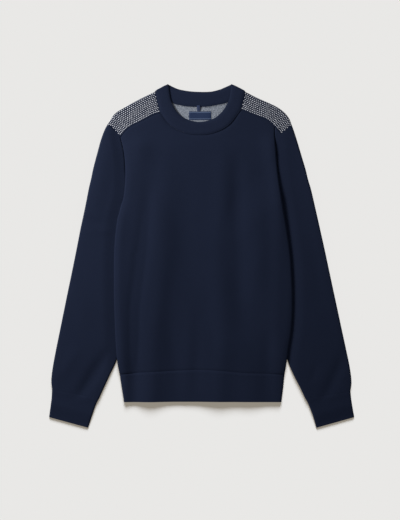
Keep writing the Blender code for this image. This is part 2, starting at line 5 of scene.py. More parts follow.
import bmesh
import bpy
import numpy as np
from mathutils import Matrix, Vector


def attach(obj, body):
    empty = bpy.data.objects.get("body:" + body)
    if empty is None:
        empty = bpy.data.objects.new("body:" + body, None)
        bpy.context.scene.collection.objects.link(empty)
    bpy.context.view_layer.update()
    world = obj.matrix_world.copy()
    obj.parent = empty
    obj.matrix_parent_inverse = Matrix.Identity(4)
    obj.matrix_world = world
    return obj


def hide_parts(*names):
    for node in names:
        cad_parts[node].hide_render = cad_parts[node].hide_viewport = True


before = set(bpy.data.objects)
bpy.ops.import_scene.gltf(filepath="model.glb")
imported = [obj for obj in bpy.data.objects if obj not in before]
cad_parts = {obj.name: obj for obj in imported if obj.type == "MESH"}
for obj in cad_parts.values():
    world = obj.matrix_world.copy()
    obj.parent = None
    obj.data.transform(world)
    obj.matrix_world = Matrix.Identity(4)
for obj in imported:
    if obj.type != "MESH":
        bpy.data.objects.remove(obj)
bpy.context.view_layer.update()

# Back: a flat panel of navy fine-gauge plain knit, with the stitches' columns running up it.
# It lies on the surface and rises over the two sleeves that are tucked under it.
# Its sides are folds that the front shares. Positions are in millimetres.
MM = 0.001
SIDES = ("left", "right")
WALL = 2.2
GAP = 0.3
EDGE_ROUND = 4.0
ROUND_ANGLES = tuple(np.linspace(90.0, 0.0, 8))
SLEEVE_STACK = 2 * WALL + 2 * GAP
BODY_ROWS = (
    (-259, -180.4, 182.4), (-240, -184.3, 185.6), (-222, -186.6, 188.1), (-200, -188.2, 190.8),
    (-168, -189.9, 195.9), (-130, -191.4, 198.9), (-90, -192.5, 199.4), (-45, -192.5, 197.8),
    (0, -192.3, 194.7), (40, -190.1, 189.6), (77, -185.7, 183.8), (94, -181.4, 180.8),
    (111.8, -176.7, 178),
)
ARMHOLE = {"left": (
    (-176.7, 111.8), (-171.6, 129.4), (-168.3, 164.6),
    (-168.3, 197.6), (-171.6, 230.6), (-178.9, 261.4),
), "right": (
    (178, 111.8), (172.9, 144.8), (166.8, 191),
    (163.5, 230.6), (160.6, 262), (161, 282.5),
)}
PANEL_CORNER = {"left": (-178.9, 261.4), "right": (173.8, 267.5)}
SHOULDER_END = {"left": (-206.4, 289.3), "right": (198.2, 286.7)}
NECK_POINT = {"left": (-102.7, 360.4), "right": (95.9, 360.4)}
NECK_JUNCTION = {"left": (-91.3, 314.2), "right": (86.5, 321.0)}
PANEL_LOWER = {"left": (
    NECK_JUNCTION["left"], (-109.1, 308), (-135.3, 294.1), (-156.9, 283.4), (-166.3, 275.7),
    ARMHOLE["left"][-1],
), "right": (
    NECK_JUNCTION["right"], (109.8, 311), (138.6, 300.5), (150.3, 292.9),
    ARMHOLE["right"][-1],
)}
FRONT_NECK = (
    NECK_JUNCTION["left"], (-69.7, 287.8), (-36.7, 270.2), (-4.8, 265.8),
    (27.1, 270.2), (60.1, 287.8), NECK_JUNCTION["right"],
)
HEM_SEAM = (
    (-180.4, -259), (-124, -255.6), (-60, -252.4), (-10, -250.2),
    (40, -252.2), (100, -257.4), (182.4, -259),
)
BODY_STEPS, ARMHOLE_STEPS = 96, 48
# Each sleeve under the body: its underarm, where its inner edge comes out, where the armhole begins
HIDDEN_SLEEVE = {
    "left": ((-120, 64), (-187.2, -231), (-176.7, 111.8)),
    "right": ((120, 64), (189, -231.4), (178, 111.8)),
}
# How far from the hidden sleeve a layer stays raised, and over how far it comes down
LIFT_FLAT, LIFT_RAMP, LIFT_END_Y = 13.0, 30.0, -216.0
FRONT_LIFT_FLAT, FRONT_LIFT_RAMP = 4.0, 85.0
# Soft folds of the body: x, y, height and width along each crest
BODY_FOLDS = (
    ((-112, -330, 5.6, 26), (-109, -262, 5, 25), (-105, -194, 4.6, 24), (-100, -141, 4.2, 24),
     (-90, -62, 3.8, 26), (-84, 17, 3, 27), (-83, 96, 2.4, 27), (-80, 175, 1.4, 24),
     (-74, 240, 0.4, 22)),
    ((38, -330, 5.4, 30), (38, -262, 5.4, 30), (46, -194, 5.2, 28), (44, -141, 4.4, 26),
     (40, -62, 3, 25), (38, 17, 2.2, 26), (44, 96, 2.4, 22), (45, 175, 1.6, 20), (46, 240, 0.4, 22)),
    ((104, -330, 4, 40), (99, -262, 4.2, 42), (92, -194, 4, 40), (82, -141, 1.8, 36),
     (72, -80, 0, 30)),
    ((166, -330, 0.8, 16), (166, -200, 1.2, 16), (167, -100, 1.2, 16), (168, 0, 1.6, 18),
     (170, 96, 2.6, 18), (166, 176, 3.8, 20), (157, 240, 5.2, 22), (153, 284, 2.2, 20)),
    ((118, -120, 0, 20), (120, -62, 0.8, 20), (128, 17, 1.4, 20), (124, 96, 0.8, 20),
     (128, 176, 0, 20)),
    ((-114, 170, 0, 15), (-119, 120, -2, 16), (-124, 60, -3.2, 16), (-130, 10, -3.6, 16),
     (-140, -62, -3.8, 16), (-147, -120, -4.2, 15), (-148, -200, -4, 15), (-149, -262, -2.8, 14),
     (-148, -330, -1.4, 13)),
    ((8, -130, 0, 16), (8, -190, 1, 16), (6, -262, 1.2, 16), (6, -330, 0.4, 16)),
    ((80, 235, 0, 18), (79, 176, -2, 17), (79, 96, -2.2, 17), (82, 17, -2, 18), (84, -62, -1.8, 18),
     (92, -141, -0.8, 18), (100, -190, 0, 18)),
    ((-30, 200, 0, 24), (-32, 96, -1, 24), (-30, 17, -1.2, 24), (-26, -62, -0.8, 24),
     (-30, -120, 0, 24)),
    ((-26, -100, 0, 14), (-26, -180, 1, 14), (-28, -230, 1.2, 14), (-28, -262, 0.8, 14),
     (-28, -330, 0, 14)),
    ((-66, -120, 0, 16), (-64, -194, -1.2, 16), (-60, -229, -1.6, 16), (-56, -262, -1.2, 16),
     (-54, -330, -0.6, 16)),
    ((146, -160, 0, 14), (146, -194, -1, 14), (144, -250, -1, 14), (140, -320, -0.3, 14)),
    ((-154, 8, 0, 6), (-147, -2, -0.7, 5), (-139, -12, 0, 6)),
    ((-142, 290, 1.2, 24), (-136, 240, 3.8, 28), (-141, 190, 2, 26), (-148, 140, 0, 22)),
)
FRONT_PUFF = 2.2
# Towards the shoulders the front lies flatter: from this y on, over this far, by this share
FLATTER_FROM, FLATTER_OVER, FLATTER_BY = 235.0, 45.0, 0.7
# Width and height of the left side's roll and turn, and of the right side's turn
LEFT_ROLL, LEFT_TURN, RIGHT_TURN = (24, 2.4), (8, 3.0), (7, 1.8)
# Pieces are linked a hair apart, and drawn in a little along the link
SEAM, SEAM_DIP, SEAM_DIP_WIDTH = 0.02, 0.7, 2.2
# The front's further dip below the collar: middle, half length, run-out and width
NECK_MIDDLE_X, NECK_DIP_REACH, NECK_DIP_END, NECK_DIP_WIDTH = -4.8, 88, 16, 5.5
# Above the underarm the back's edge turns down, but stays off the surface
BACK_EDGE_Y, BACK_EDGE_OVER, BACK_EDGE_DROP, LEAST_HEIGHT = 113, 4, 1.6, 0.2
# Where the layers are sewn apart: between these two y, each with its run-out, by this gap
SEWN_FROM, SEWN_IN, SEWN_TO, SEWN_OUT, SEWN_GAP = 102, 8, 165, 30, 0.3


def run_along(points):
    """The length of a line up to each of its points, or of each column of a grid."""
    steps = np.linalg.norm(np.diff(points, axis=0), axis=-1)
    return np.concatenate([np.zeros((1, *steps.shape[1:])), np.cumsum(steps, axis=0)])


def along(line, run, at):
    """The points of a line at places along it."""
    return np.stack([np.interp(at, run, column) for column in line.T], axis=-1)


def curve(points, steps):
    """Points evenly spaced along a smooth curve through the given points."""
    p = np.array(points, float)
    p = np.vstack([2 * p[0] - p[1], p, 2 * p[-1] - p[-2]])
    fine = []
    for a, b, c, d in zip(p[:-3], p[1:-2], p[2:-1], p[3:]):
        for t in np.linspace(0, 1, 24, endpoint=False):
            fine.append(0.5 * (2 * b + (c - a) * t + (2 * a - 5 * b + 4 * c - d) * t**2
                               + (3 * b - a - 3 * c + d) * t**3))
    fine = np.array(fine + [p[-2]])
    run = run_along(fine[:, :2])
    return along(fine, run, np.linspace(0, run[-1], steps + 1))


def ease(t):
    t = np.clip(t, 0.0, 1.0)
    return t * t * (3 - 2 * t)


def nearest_on(line, x, y):
    """How far points lie from a line, and the line's further columns at the nearest place."""
    best = np.full(np.shape(x), np.inf)
    extra = [np.zeros(np.shape(x)) for _ in range(line.shape[1] - 2)]
    for a, b in zip(line[:-1], line[1:]):
        d = b[:2] - a[:2]
        t = np.clip(((x - a[0]) * d[0] + (y - a[1]) * d[1]) / max(d @ d, 1e-9), 0, 1)
        far = np.hypot(x - a[0] - t * d[0], y - a[1] - t * d[1])
        nearer = far < best
        best = np.where(nearer, far, best)
        for k in range(len(extra)):
            extra[k] = np.where(nearer, a[k + 2] + t * (b[k + 2] - a[k + 2]), extra[k])
    return best, extra


def unit(v):
    return v / np.linalg.norm(v)


def ridge(far, wide, tall=1.0):
    """The height of a soft ridge at a distance from its crest."""
    return tall * np.exp(-((far / wide) ** 2))


def folds_height(folds, x, y):
    """What a table of soft folds adds to the height of the cloth."""
    height = np.zeros(np.shape(x))
    for fold in folds:
        far, (tall, wide) = nearest_on(curve(fold, 20), x, y)
        height = height + ridge(far, wide, tall)
    return height


def above_zero(height, softness=0.36):
    """Eases a height off before it would press one layer of cloth into the next."""
    return (height + np.sqrt(height**2 + softness)) / 2


armhole = {s: curve(ARMHOLE[s], ARMHOLE_STEPS) for s in SIDES}
panel_lower = {s: curve(PANEL_LOWER[s], 30) for s in SIDES}
front_neck = curve(FRONT_NECK, 64)
hem_seam = curve(HEM_SEAM, 120)
body_edge = {
    s: np.vstack([curve([(row[k], row[0]) for row in BODY_ROWS], BODY_STEPS), armhole[s][1:]])
    for k, s in ((1, "left"), (2, "right"))
}
front_upper = np.vstack([panel_lower["left"][::-1], front_neck[1:-1], panel_lower["right"]])


def hidden_distance(x, y):
    """How far a point of the body lies from the part of a sleeve under it."""
    far = []
    for side, sign in (("left", 1.0), ("right", -1.0)):
        under, out, leaves = (np.array(q, float) for q in HIDDEN_SLEEVE[side])
        square = np.maximum(LIFT_END_Y - y, 0) ** 2
        for d in (unit(out - under), unit(under - leaves)):
            square = square + np.maximum(((y - under[1]) * d[0] - (x - under[0]) * d[1]) * sign, 0) ** 2
        far.append(np.sqrt(square))
    return np.where(x < 0, far[0], far[1])


def lift(x, y, flat=LIFT_FLAT, ramp=LIFT_RAMP):
    """How far a layer is raised where a sleeve lies under it: the back, by default."""
    return SLEEVE_STACK * (1 - ease((hidden_distance(x, y) - flat) / ramp))


def from_edges(x, y):
    """How far a point lies inside the body's left edge, and inside its right edge."""
    left, right = (np.interp(y, body_edge[s][:, 1], body_edge[s][:, 0]) for s in SIDES)
    return x - left, right - x


def edge_form(x, y):
    """The left side rolls over a broad soft fold, less at the armhole; the right side turns down sharply."""
    left, right = from_edges(x, y)
    armhole_part = ease((y - 40) / 90)
    return (ridge(left, LEFT_ROLL[0], LEFT_ROLL[1] * (1 - armhole_part))
            - ridge(left, LEFT_TURN[0], LEFT_TURN[1] - 1.2 * armhole_part)
            - ridge(right, RIGHT_TURN[0], RIGHT_TURN[1] - 0.9 * ease((y + 140) / 100)))


def front_puff(x, y):
    """How far the front stands above the back that it lies on."""
    height = FRONT_PUFF + folds_height(BODY_FOLDS, x, y) + edge_form(x, y)
    return above_zero(height * (1 - FLATTER_BY * ease((y - FLATTER_FROM) / FLATTER_OVER)))


def front_top(x, y):
    return lift(x, y, FRONT_LIFT_FLAT, FRONT_LIFT_RAMP) + 2 * WALL + GAP + front_puff(x, y)


def front_face(x, y):
    """The front's upper side, drawn in a little along its seams."""
    hem = y - np.interp(x, hem_seam[:, 0], hem_seam[:, 1])
    upper, _ = nearest_on(front_upper, x, y)
    neck = ease((NECK_DIP_REACH - np.abs(x - NECK_MIDDLE_X)) / NECK_DIP_END)
    dip = ridge(hem, SEAM_DIP_WIDTH, 0.9) + ridge(upper, SEAM_DIP_WIDTH) + ridge(upper, NECK_DIP_WIDTH, neck)
    return front_top(x, y) - SEAM_DIP * dip


def front_part(x, y):
    return (lift(x, y) + front_top(x, y) + GAP) / 2


def sewn_apart(y):
    """Just above the underarm, where each layer of the body meets its own layer of the sleeve."""
    return ease((y - SEWN_FROM) / SEWN_IN) * (1 - ease((y - SEWN_TO) / SEWN_OUT))


def back_part(x, y):
    middle = (lift(x, y) + front_top(x, y) - GAP) / 2
    low = lift(x, y) + SEWN_GAP - BACK_EDGE_DROP * ease((y - BACK_EDGE_Y) / BACK_EDGE_OVER)
    return middle + sewn_apart(y) * (np.maximum(low, LEAST_HEIGHT) - middle)


def level_at(height):
    """A face or a parting that is level all over."""
    return lambda x, y: np.full(np.shape(x), float(height))


def half_of(face):
    return lambda x, y: face(x, y) / 2


floor_level = level_at(0)


def places(points):
    """Where the points of a line stand along it, from 0 to 1."""
    run = run_along(points)
    return run / run[-1]


class Pattern:
    """A four-sided piece laid out flat, between two end lines and two rows of edge points."""

    def __init__(self, bottom, top, left, right, bottom_at=None, top_at=None, top_from=0.0):
        self.bottom, self.top, self.left, self.right = (
            np.array(line, float) for line in (bottom, top, left, right)
        )
        self.bottom_at = places(self.bottom) if bottom_at is None else bottom_at
        self.top_at = places(self.top) if top_at is None else top_at
        self.rows = np.linspace(0, 1, len(self.left))
        self.top_from = top_from

    def __call__(self, u, v):
        across, up = u[..., None], v[..., None]
        low = along(self.bottom, self.bottom_at, u) - (1 - across) * self.left[0] - across * self.right[0]
        high = along(self.top, self.top_at, u) - (1 - across) * self.top[0] - across * self.top[-1]
        rise = np.maximum(0.0, (up - self.top_from) / (1 - self.top_from))
        sides = (1 - across) * along(self.left, self.rows, v) + across * along(self.right, self.rows, v)
        return sides + (1 - up) * low + rise * high


def stations(inside, start_round=False, end_round=False):
    """Place, inward side and turn of each row or column: rounded ends are stepped by their angle."""
    first = [(0.0, 1, a) for a in (ROUND_ANGLES if start_round else (None,))]
    last = [(1.0, -1, a) for a in (ROUND_ANGLES[::-1] if end_round else (None,))]
    return first + [(float(t), 0, 0.0) for t in inside] + last


def layer(pattern, columns, rows, face, parting, wall=WALL, radius=EDGE_ROUND, upward=True):
    """The outer and inner points of a layer of cloth; its rounded edges end at the parting height."""
    sign = 1.0 if upward else -1.0
    small = 0.002
    grids = []
    for inner in (False, True):

        def inset(station):
            if station[1] == 0:
                return 0.0
            if station[2] is None:
                return SEAM
            turned = 1 - math.sin(math.radians(station[2]))
            return SEAM + (wall + (radius - wall) * turned if inner else radius * turned)

        u, v = np.meshgrid([c[0] for c in columns], [r[0] for r in rows])
        side_u, side_v = np.meshgrid([c[1] for c in columns], [r[1] for r in rows])
        in_u, in_v = np.meshgrid([inset(c) for c in columns], [inset(r) for r in rows])
        scale_u = np.linalg.norm(pattern(u + side_u * small, v) - pattern(u, v), axis=-1) / small
        u = u + side_u * in_u / np.maximum(scale_u, 1e-6)
        scale_v = np.linalg.norm(pattern(u, v + side_v * small) - pattern(u, v), axis=-1) / small
        v = v + side_v * in_v / np.maximum(scale_v, 1e-6)
        flat = pattern(u, v)
        x, y = flat[..., 0], flat[..., 1]
        bend = np.outer([math.cos(math.radians(r[2] or 0)) for r in rows],
                        [math.cos(math.radians(c[2] or 0)) for c in columns])
        outer_face = face(x, y)
        fall = sign * (outer_face - parting(x, y))
        if inner:
            z = outer_face - sign * (wall + np.maximum(fall - wall, 0) * (1 - bend))
        else:
            z = outer_face - sign * fall * (1 - bend)
        grids.append(np.stack([x, y, z], axis=-1))
    return grids


def around(top, bottom):
    """Joins an upper and a lower layer into one run of columns, over one fold."""
    return [np.concatenate([t, b[:, ::-1][:, 1:]], axis=1) for t, b in zip(top, bottom)]


def new_object(name, data):
    made = bpy.data.objects.new(name, data)
    bpy.context.collection.objects.link(made)
    return made


def mesh_piece(name, points, faces, chart, material):
    """A closed mesh from points in millimetres, with its knitting chart as its UV map."""
    mesh = bpy.data.meshes.new(name)
    mesh.from_pydata((np.asarray(points) * MM).tolist(), [], np.asarray(faces).tolist())
    knit_chart = mesh.uv_layers.new(name="knit_chart")
    corner = np.zeros(len(mesh.loops), int)
    mesh.loops.foreach_get("vertex_index", corner)
    knit_chart.data.foreach_set("uv", np.asarray(chart, np.float32)[corner].ravel())
    bm = bmesh.new()
    bm.from_mesh(mesh)
    bmesh.ops.remove_doubles(bm, verts=bm.verts, dist=1e-7)
    bmesh.ops.dissolve_degenerate(bm, edges=bm.edges, dist=1e-8)
    bmesh.ops.recalc_face_normals(bm, faces=bm.faces)
    if bm.calc_volume(signed=True) < 0:
        bmesh.ops.reverse_faces(bm, faces=bm.faces)
    bm.to_mesh(mesh)
    bm.free()
    mesh.materials.append(material)
    mesh.shade_smooth()
    mesh.set_sharp_from_angle(angle=math.radians(50))
    return new_object(name, mesh)


def cloth(name, outer, inner, material, turn=0.0, chart=None, joined_rows=0):
    """A closed piece of cloth; joined rows close round, and the chart's columns are turned by an angle."""
    if chart is None:
        c, s = math.cos(turn), math.sin(turn)
        x, y = outer[..., 0] * MM, outer[..., 1] * MM
        chart = np.stack([c * x + s * y, c * y - s * x], axis=-1)
    rows, cols = outer.shape[:2]
    out = np.arange(rows * cols).reshape(rows, cols)
    back = out + rows * cols

    def strips(a, b):
        return np.stack([a[..., :-1], a[..., 1:], b[..., 1:], b[..., :-1]], axis=-1).reshape(-1, 4)

    open_row = max(joined_rows - 1, 0)
    faces = np.concatenate([
        strips(out[:-1], out[1:]), strips(back[:-1], back[1:]),
        *(strips(out[open_row:, k], back[open_row:, k]) for k in (0, -1)),
        *(strips(out[k], back[k]) for k in (0, -1)),
    ])
    points = np.concatenate([outer.reshape(-1, 3), inner.reshape(-1, 3)])
    return mesh_piece(name, points, faces, np.concatenate([chart.reshape(-1, 2)] * 2), material)


def wire(tree, node, values):
    """Sets a node's inputs, each to a value or to another node's output."""
    for label, value in values.items():
        if isinstance(value, bpy.types.NodeSocket):
            tree.links.new(value, node.inputs[label])
        else:
            node.inputs[label].default_value = value
    return node


def add_node(tree, kind, values):
    return wire(tree, tree.nodes.new("ShaderNode" + kind), values)


def add_group(tree, group, values):
    node = tree.nodes.new("ShaderNodeGroup")
    node.node_tree = group
    return wire(tree, node, values).outputs


def maths(tree, operation, *values):
    node = add_node(tree, "Math", dict(enumerate(values)))
    node.operation = operation
    return node.outputs[0]


def mixed(tree, factor, a, b):
    mix = tree.nodes.new("ShaderNodeMix")
    mix.data_type = "RGBA"
    return wire(tree, mix, {"Factor": factor, "A": a, "B": b}).outputs["Result"]


def node_group(name, inputs, outputs):
    """An empty shader group; an input's value tells whether it is a place, a colour or a number."""
    group = bpy.data.node_groups.new(name, "ShaderNodeTree")
    kinds = {type(None): "Vector", tuple: "Color", float: "Float"}
    for label, value in inputs.items():
        kind = "NodeSocket" + kinds[type(value)]
        socket = group.interface.new_socket(name=label, in_out="INPUT", socket_type=kind)
        if value is not None:
            socket.default_value = value
    for label, kind in outputs.items():
        group.interface.new_socket(name=label, in_out="OUTPUT", socket_type="NodeSocket" + kind)
    given, result = group.nodes.new("NodeGroupInput"), group.nodes.new("NodeGroupOutput")
    return group, given.outputs, result, functools.partial(maths, group)


# Rows of V-shaped loops: two slanting legs in each column, over optional ribs
stitches, given, result, calc = node_group(
    "knit_stitches",
    {"Chart": None, "Column mm": 1.8, "Row mm": 1.5, "Rib mm": 3.6, "Rib depth": 0.0},
    {"Height": "Float", "Loop": "Float"},
)
spread = add_node(stitches, "SeparateXYZ", {0: given["Chart"]}).outputs
across_mm, along_mm = (calc("MULTIPLY", spread[axis], 1000.0) for axis in "XY")
column = calc("DIVIDE", across_mm, given["Column mm"])
row = calc("DIVIDE", along_mm, given["Row mm"])
beside = calc("ABSOLUTE", calc("SUBTRACT", calc("FRACT", column), 0.5))
leg = calc("SINE", calc("MULTIPLY", beside, math.tau))
slant = calc("MULTIPLY_ADD", beside, 1.3, row)
loop = calc("MULTIPLY_ADD", calc("COSINE", calc("MULTIPLY", slant, math.tau)), 0.5, 0.5)
stitch = calc("MULTIPLY", leg, calc("MULTIPLY_ADD", loop, 0.5, 0.5))
rib_turn = calc("MULTIPLY", calc("DIVIDE", across_mm, given["Rib mm"]), math.tau)
rib = calc("MULTIPLY_ADD", calc("COSINE", rib_turn), 0.5, 0.5)
ribbed = calc("MULTIPLY_ADD", rib, given["Rib depth"], stitch)
wire(stitches, result, {"Height": ribbed, "Loop": stitch})

# Yarn colour that differs a little from loop to loop and over a hand's breadth, with painted shade darkening
# the hollows of the loops
yarn, given, result, calc = node_group(
    "yarn_colour",
    {"Yarn": (0.01, 0.015, 0.03, 1.0), "Loop": 0.5, "Depth": 0.25, "Unevenness": 0.08},
    {"Colour": "Color", "Fuzz": "Float"},
)
where = yarn.nodes.new("ShaderNodeTexCoord").outputs["Object"]
fuzz = add_node(yarn, "TexNoise", {"Vector": where, "Scale": 700.0, "Detail": 3.0}).outputs["Fac"]
broad = add_node(yarn, "TexNoise", {"Vector": where, "Scale": 14.0, "Detail": 4.0}).outputs["Fac"]
# Painted shade: the colour is darker where the loop's relief is low and lighter on its crests
painted_hollow_shade = calc("MULTIPLY", calc("SUBTRACT", given["Loop"], 0.45), given["Depth"])
mottle = calc("MULTIPLY", calc("SUBTRACT", broad, 0.5), given["Unevenness"])
speck = calc("MULTIPLY", calc("SUBTRACT", fuzz, 0.5), 0.5)
level = calc("ADD", calc("ADD", calc("ADD", painted_hollow_shade, mottle), speck), 1.0)
tinted = yarn.nodes.new("ShaderNodeVectorMath")
tinted.operation = "SCALE"
wire(yarn, tinted, {0: given["Yarn"], "Scale": level})
wire(yarn, result, {"Colour": tinted.outputs["Vector"], "Fuzz": fuzz})


def plain_material(name, roughness, specular, sheen=0.0):
    """A new material, its node tree and its main shader."""
    m = bpy.data.materials.new(name)
    m.use_nodes = True
    shader = m.node_tree.nodes["Principled BSDF"]
    finish = {"Roughness": roughness, "Specular IOR Level": specular, "Sheen Weight": sheen}
    return m, m.node_tree, wire(m.node_tree, shader, finish)


def chart_place(tree):
    """Where each point of a piece stands on its own knitting chart."""
    chart = tree.nodes.new("ShaderNodeUVMap")
    chart.uv_map = "knit_chart"
    return chart.outputs["UV"]


def raise_relief(tree, shader, height, strength, distance):
    bump = add_node(tree, "Bump", {"Strength": strength, "Distance": distance, "Height": height})
    wire(tree, shader, {"Normal": bump.outputs["Normal"]})


def knit_material(
    name, colour, column_mm, row_mm, rib_mm=3.6, rib_depth=0.0, depth=0.5, relief=0.35, sheen=0.03,
):
    """Matte cotton yarn in V-shaped loops, read from the piece's own chart, with painted shade in the loops'
    hollows.
    """
    m, tree, shader = plain_material(name, 0.5, 0.03, sheen)
    loops = add_group(tree, stitches, {
        "Chart": chart_place(tree), "Column mm": column_mm, "Row mm": row_mm,
        "Rib mm": rib_mm, "Rib depth": rib_depth,
    })
    # depth: how far the painted shade darkens the hollows between the loops
    tint = add_group(tree, yarn, {"Yarn": (*colour, 1.0), "Depth": depth, "Loop": loops["Loop"]})
    raise_relief(tree, shader, loops["Height"], relief, 0.0004)
    wire(tree, shader, {
        "Base Color": tint["Colour"], "Roughness": maths(tree, "MULTIPLY_ADD", tint["Fuzz"], 0.2, 0.75),
        "Sheen Roughness": 0.5, "Sheen Tint": (0.45, 0.55, 1.0, 1.0),
    })
    m.diffuse_color = (*colour, 1.0)
    return m


NAVY = (0.0090, 0.0130, 0.0285)
navy_knit = knit_material("navy_plain_knit", NAVY, 1.8, 1.5)

whole_body = Pattern(
    hem_seam, front_upper, *body_edge.values(),
    *((line[:, 0] - line[0, 0]) / (line[-1, 0] - line[0, 0]) for line in (hem_seam, front_upper)),
    (BODY_STEPS + 3 / 7 * ARMHOLE_STEPS) / (BODY_STEPS + ARMHOLE_STEPS),
)
shoulder_chord = [line[-1] for line in body_edge.values()]
back_pattern = Pattern(hem_seam, shoulder_chord, *body_edge.values(), whole_body.bottom_at)
columns = stations(np.linspace(0, 1, 90)[2:-2], True, True)
rows = stations(whole_body.rows[1:-1])
outer, inner = layer(back_pattern, columns, rows, lift, back_part, upward=False)
back_knit = cloth("back_knit", outer, inner, navy_knit)
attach(back_knit, "root")
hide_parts("back")

# Back yoke: one jacquard piece between the two shoulder folds and the back neck seam.
# The opening shows its reverse, where the pale and the navy yarns float as grey flecks.
# Its right side, with the staggered pale stitches, lies face down on the surface.
BACK_NECK = (
    NECK_POINT["left"], (-67.5, 337.3), (-47.7, 330.7), (-21.3, 327.4),
    (7.3, 327.4), (29.3, 330.7), (60.1, 338.4), NECK_POINT["right"],
)
SHOULDER_LINE = {"left": (
    NECK_POINT["left"], (-131.1, 347.2), (-155.8, 334), (-170.7, 325.2),
    (-185.7, 316.4), (-195.1, 307.6), (-200.2, 298.8), SHOULDER_END["left"],
), "right": (
    NECK_POINT["right"], (122.3, 347.2), (151.8, 334), (168.7, 325.2),
    (180.4, 316.4), (188.5, 307.6), (193.8, 298.8), SHOULDER_END["right"],
)}
# One repeat of the bird's-eye pattern, and the radius of a stitch in it
BIRDSEYE_REPEAT = (("X", 7.6), ("Y", 4.5))
BIRDSEYE_RADIUS = 1.3
# The reverse's greys, each with its place in the range of the flecks
FLECK_SHADES = ((0.30, (0.040, 0.048, 0.071)), (0.5, (0.142, 0.160, 0.196)), (0.68, (0.280, 0.305, 0.350)))
SHOULDER_STEPS = 40
shoulder = {s: curve(SHOULDER_LINE[s], SHOULDER_STEPS) for s in SIDES}
back_neck = curve(BACK_NECK, 64)
top = np.vstack([shoulder["left"][::-1], back_neck[1:-1], shoulder["right"]])
lower = np.array([armhole["left"][-1], armhole["right"][-1], PANEL_CORNER["right"]])
lower_at = np.array([0.0, places(top)[-SHOULDER_STEPS - 1], 1.0])
yoke_pattern = Pattern(lower, top, *(np.linspace(lower[k], top[k], 4) for k in (0, -1)), lower_at)
columns = stations(np.linspace(0, 1, 130)[1:-1])
rows = stations(np.linspace(0, 1, 36)[1:-1], False, True)
outer, inner = layer(yoke_pattern, columns, rows, floor_level, level_at(WALL), radius=3.0, upward=False)

flecked, tree, shader = plain_material("jacquard_reverse", 0.9, 0.2, 0.15)
chart = chart_place(tree)
stretch = add_node(tree, "Mapping", {"Vector": chart, "Scale": (1.0, 1.7, 1.0)})
flecks = add_node(tree, "TexNoise", {
    "Vector": stretch.outputs["Vector"], "Scale": 330.0, "Detail": 2.5, "Roughness": 0.7,
})
loops = add_group(tree, stitches, {"Chart": chart, "Column mm": 1.9, "Row mm": 1.6})
# The flecks' greys, with painted shade added: each loop's crest a little lighter and its hollows darker
fleck = maths(tree, "SUBTRACT", flecks.outputs["Fac"], 0.04)
blend = maths(tree, "MULTIPLY_ADD", loops["Loop"], 0.10, fleck)
ramp = add_node(tree, "ValToRGB", {"Fac": blend})
ramp.color_ramp.elements.new(0.5)
for shade, (place, grey) in zip(ramp.color_ramp.elements, FLECK_SHADES):
    shade.position, shade.color = place, (*grey, 1.0)
wire(tree, shader, {"Base Color": ramp.outputs["Color"]})
raise_relief(tree, shader, blend, 0.4, 0.0005)
yoke_knit = cloth("back_yoke_knit", outer, inner, flecked)

# The right side: navy loops with two staggered pale stitches in each repeat
face_down = knit_material("birdseye_right_side", NAVY, 1.9, 1.5)
tree = face_down.node_tree
shader = tree.nodes["Principled BSDF"]
calc = functools.partial(maths, tree)
apart = add_node(tree, "SeparateXYZ", {0: chart_place(tree)}).outputs
spots = []
for shift in (0.0, 0.5):
    squares = []
    for axis, repeat in BIRDSEYE_REPEAT:
        place = calc("ADD", calc("MULTIPLY", apart[axis], 1000 / repeat), shift)
        off = calc("MULTIPLY", calc("SUBTRACT", calc("FRACT", place), 0.5), repeat)
        squares.append(calc("MULTIPLY", off, off))
    spots.append(calc("LESS_THAN", calc("SQRT", calc("ADD", *squares)), BIRDSEYE_RADIUS))
navy_loops = shader.inputs["Base Color"].links[0].from_socket
pale_spots = mixed(tree, calc("MAXIMUM", *spots), navy_loops, (0.42, 0.44, 0.50, 1.0))
wire(tree, shader, {"Base Color": pale_spots})
yoke_knit.data.materials.append(face_down)
for polygon in yoke_knit.data.polygons:
    if polygon.normal.z < -0.3 and polygon.center.z < 1.2 * MM:
        polygon.material_index = 1
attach(yoke_knit, "root")
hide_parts("back_yoke")

# Sleeves: flattened tubes of the same plain knit, with one seam at the underarm.
# They run down beside the body and partly under it, open along the armhole above the underarm.
# Inner and outer edges are folds; a few soft creases cross them above the cuffs and at the elbow.
# Rows of a sleeve: the edge away from the body, then the edge towards it
SLEEVE_ROWS = {"left": (
    (-328.7, -293, -224.8, -312.8), (-330.4, -272, -214.8, -290.5), (-326.9, -243, -201.6, -262),
    (-320.3, -207.2, -187.2, -231), (-312.7, -170, -180.5, -202), (-303.8, -126, -171, -160),
    (-294.6, -81, -160.5, -114), (-285, -35, -150, -68), (-275.9, 10, -139.8, -23),
    (-266.5, 58, -128.8, 25), (-257.9, 98, -120, 64), (-253, 122, -140, 82),
    (-248.4, 146, -160.5, 98),
), "right": (
    (326.7, -297.4, 227, -312.8), (329.1, -275, 216.6, -290.5), (325, -243, 202, -262),
    (317.7, -207.2, 189, -231.4), (309.6, -170, 182, -202), (300.2, -126, 172, -160),
    (290.5, -81, 161, -114), (280.6, -35, 150.5, -68), (271, 10, 140.2, -23),
    (260.3, 58, 129, 25), (251.3, 98, 120, 64), (245.8, 122, 140, 82),
    (240.1, 146, 161, 98),
)}
SLEEVE_HEAD = {"left": (
    (-242.8, 170), (-238.9, 188.8), (-233.6, 210), (-228.6, 228.4),
    (-221.3, 254.8), (-213.2, 276.8), SHOULDER_END["left"],
), "right": (
    (233.6, 168), (228.6, 188.8), (222.9, 208), (216.9, 228.4),
    (209, 254.8), (203.5, 272), SHOULDER_END["right"],
)}
UNDERARM_ROW = 10
ROWS_BETWEEN = 8
# How far a sleeve swells, and from where on and over how far beside the body's edge
SLEEVE_PUFF, SLEEVE_PUFF_START, SLEEVE_PUFF_RAMP = 3.6, -4.0, 31.0
